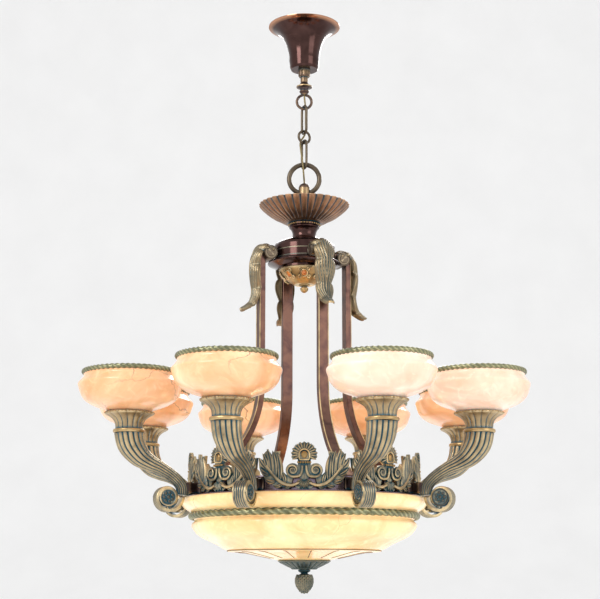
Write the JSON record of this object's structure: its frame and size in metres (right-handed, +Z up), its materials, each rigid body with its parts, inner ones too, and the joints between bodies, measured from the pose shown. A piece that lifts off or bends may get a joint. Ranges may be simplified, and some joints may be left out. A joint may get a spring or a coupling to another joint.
{
  "type": "pendant chandelier",
  "caption": "Bronze pendant lamp with alabaster cups on fluted horn arms round a large alabaster bowl, hung by straps, a crown dish and a short chain.",
  "frame": {"origin": "centre of the ceiling bar's top face, on the ceiling and on the lamp's axis", "axes": "+Z up through the ceiling, -Y towards the viewer, +X to the viewer's right"},
  "size_m": [1.0032, 1.0032, 1.3622],
  "materials": {
    "plated_steel": "zinc-plated steel",
    "polished_bronze": "polished dark brown bronze",
    "antique_bronze": "antique brown bronze, rubbed to brass on its edges",
    "verdigris_bronze": "cast bronze with blue-green verdigris in the hollows",
    "gilt_brass": "aged gilt brass",
    "peach_alabaster": "polished peach alabaster with dark veins, glows when lit",
    "cream_alabaster": "polished cream alabaster, glows when lit",
    "cord_cover": "braided gold-brown cord cover",
    "lamp_glass": "frosted bulb glass",
    "socket_ceramic": "glazed white lamp socket"
  },
  "bodies": {
    "ceiling_fitting": {"crossbar": "plated_steel", "nipple": "plated_steel", "nipple_nut": "plated_steel", "canopy_loop": "antique_bronze", "supply_cord": "cord_cover"},
    "canopy_cover": {"canopy": "polished_bronze", "canopy_nut": "antique_bronze"},
    "upper_link": {"upper_chain_link": "antique_bronze"},
    "ring_link": {"chain_ring": "antique_bronze"},
    "lower_link": {"lower_chain_link": "antique_bronze"},
    "top_ring": {"hanging_ring": "antique_bronze"},
    "bowl_set": {"alabaster_bowl": "cream_alabaster", "bowl_rope": "gilt_brass", "finial_cap": "verdigris_bronze"},
    "finial": {"pine_finial": "verdigris_bronze"},
    "fixture": {"alabaster_cups": "peach_alabaster", "arm_screws": "plated_steel", "bowl_bulbs": "lamp_glass", "bowl_rod": "plated_steel", "bowl_sockets": "socket_ceramic", "calyxes": "gilt_brass", "crown_dish": "antique_bronze", "crown_neck": "antique_bronze", "cup_bulbs": "lamp_glass", "cup_ropes": "gilt_brass", "cup_sockets": "socket_ceramic", "gallery_ring": "polished_bronze", "hanger_stem": "antique_bronze", "horn_arms": "antique_bronze", "hub_acorn": "antique_bronze", "hub_cup": "gilt_brass", "hub_drum": "antique_bronze", "hub_flange": "antique_bronze", "hub_rod": "plated_steel", "lamp_spider": "plated_steel", "palmettes": "verdigris_bronze", "strap_1": "antique_bronze", "strap_2": "antique_bronze", "strap_3": "antique_bronze", "strap_4": "antique_bronze", "strap_leaf_1": "verdigris_bronze", "strap_leaf_2": "verdigris_bronze", "strap_leaf_3": "verdigris_bronze", "strap_leaf_4": "verdigris_bronze", "strap_screws": "plated_steel"}
  },
  "joints": [
    {"name": "canopy_slide", "type": "slide", "parent": "ceiling_fitting", "child": "canopy_cover", "axis": [0, 0, -1], "range_m": [0, 0.012]},
    {"name": "upper_link_swing", "type": "hinge", "parent": "ceiling_fitting", "child": "upper_link", "pos_m": [0, 0, -0.2102], "axis": [1, 0, 0], "range_deg": [-20, 20], "deforming": ["supply_cord"]},
    {"name": "ring_link_swing", "type": "hinge", "parent": "upper_link", "child": "ring_link", "pos_m": [0, 0, -0.2732], "axis": [0.4695, -0.8829, 0], "range_deg": [-20, 20]},
    {"name": "lower_link_swing", "type": "hinge", "parent": "ring_link", "child": "lower_link", "pos_m": [0, 0, -0.2969], "axis": [0.8829, 0.4695, 0], "range_deg": [-20, 20]},
    {"name": "top_ring_swing", "type": "hinge", "parent": "lower_link", "child": "top_ring", "pos_m": [0, 0, -0.3602], "axis": [0.4695, -0.8829, 0], "range_deg": [-10, 10]},
    {"name": "fixture_swing", "type": "hinge", "parent": "top_ring", "child": "fixture", "pos_m": [0, 0, -0.4236], "axis": [1, 0, 0], "range_deg": [-20, 20]},
    {"name": "bowl_lower", "type": "slide", "parent": "fixture", "child": "bowl_set", "axis": [0, 0, -1], "range_m": [0, 0.0238]},
    {"name": "finial_turn", "type": "hinge", "parent": "bowl_set", "child": "finial", "pos_m": [0, 0, -1.3079], "axis": [0, 0, -1], "range_deg": [0, 5730]}
  ],
  "couplings": [
    {"joint": "finial_turn", "follows": "bowl_lower", "rad_per_m": 4188.8}
  ]
}
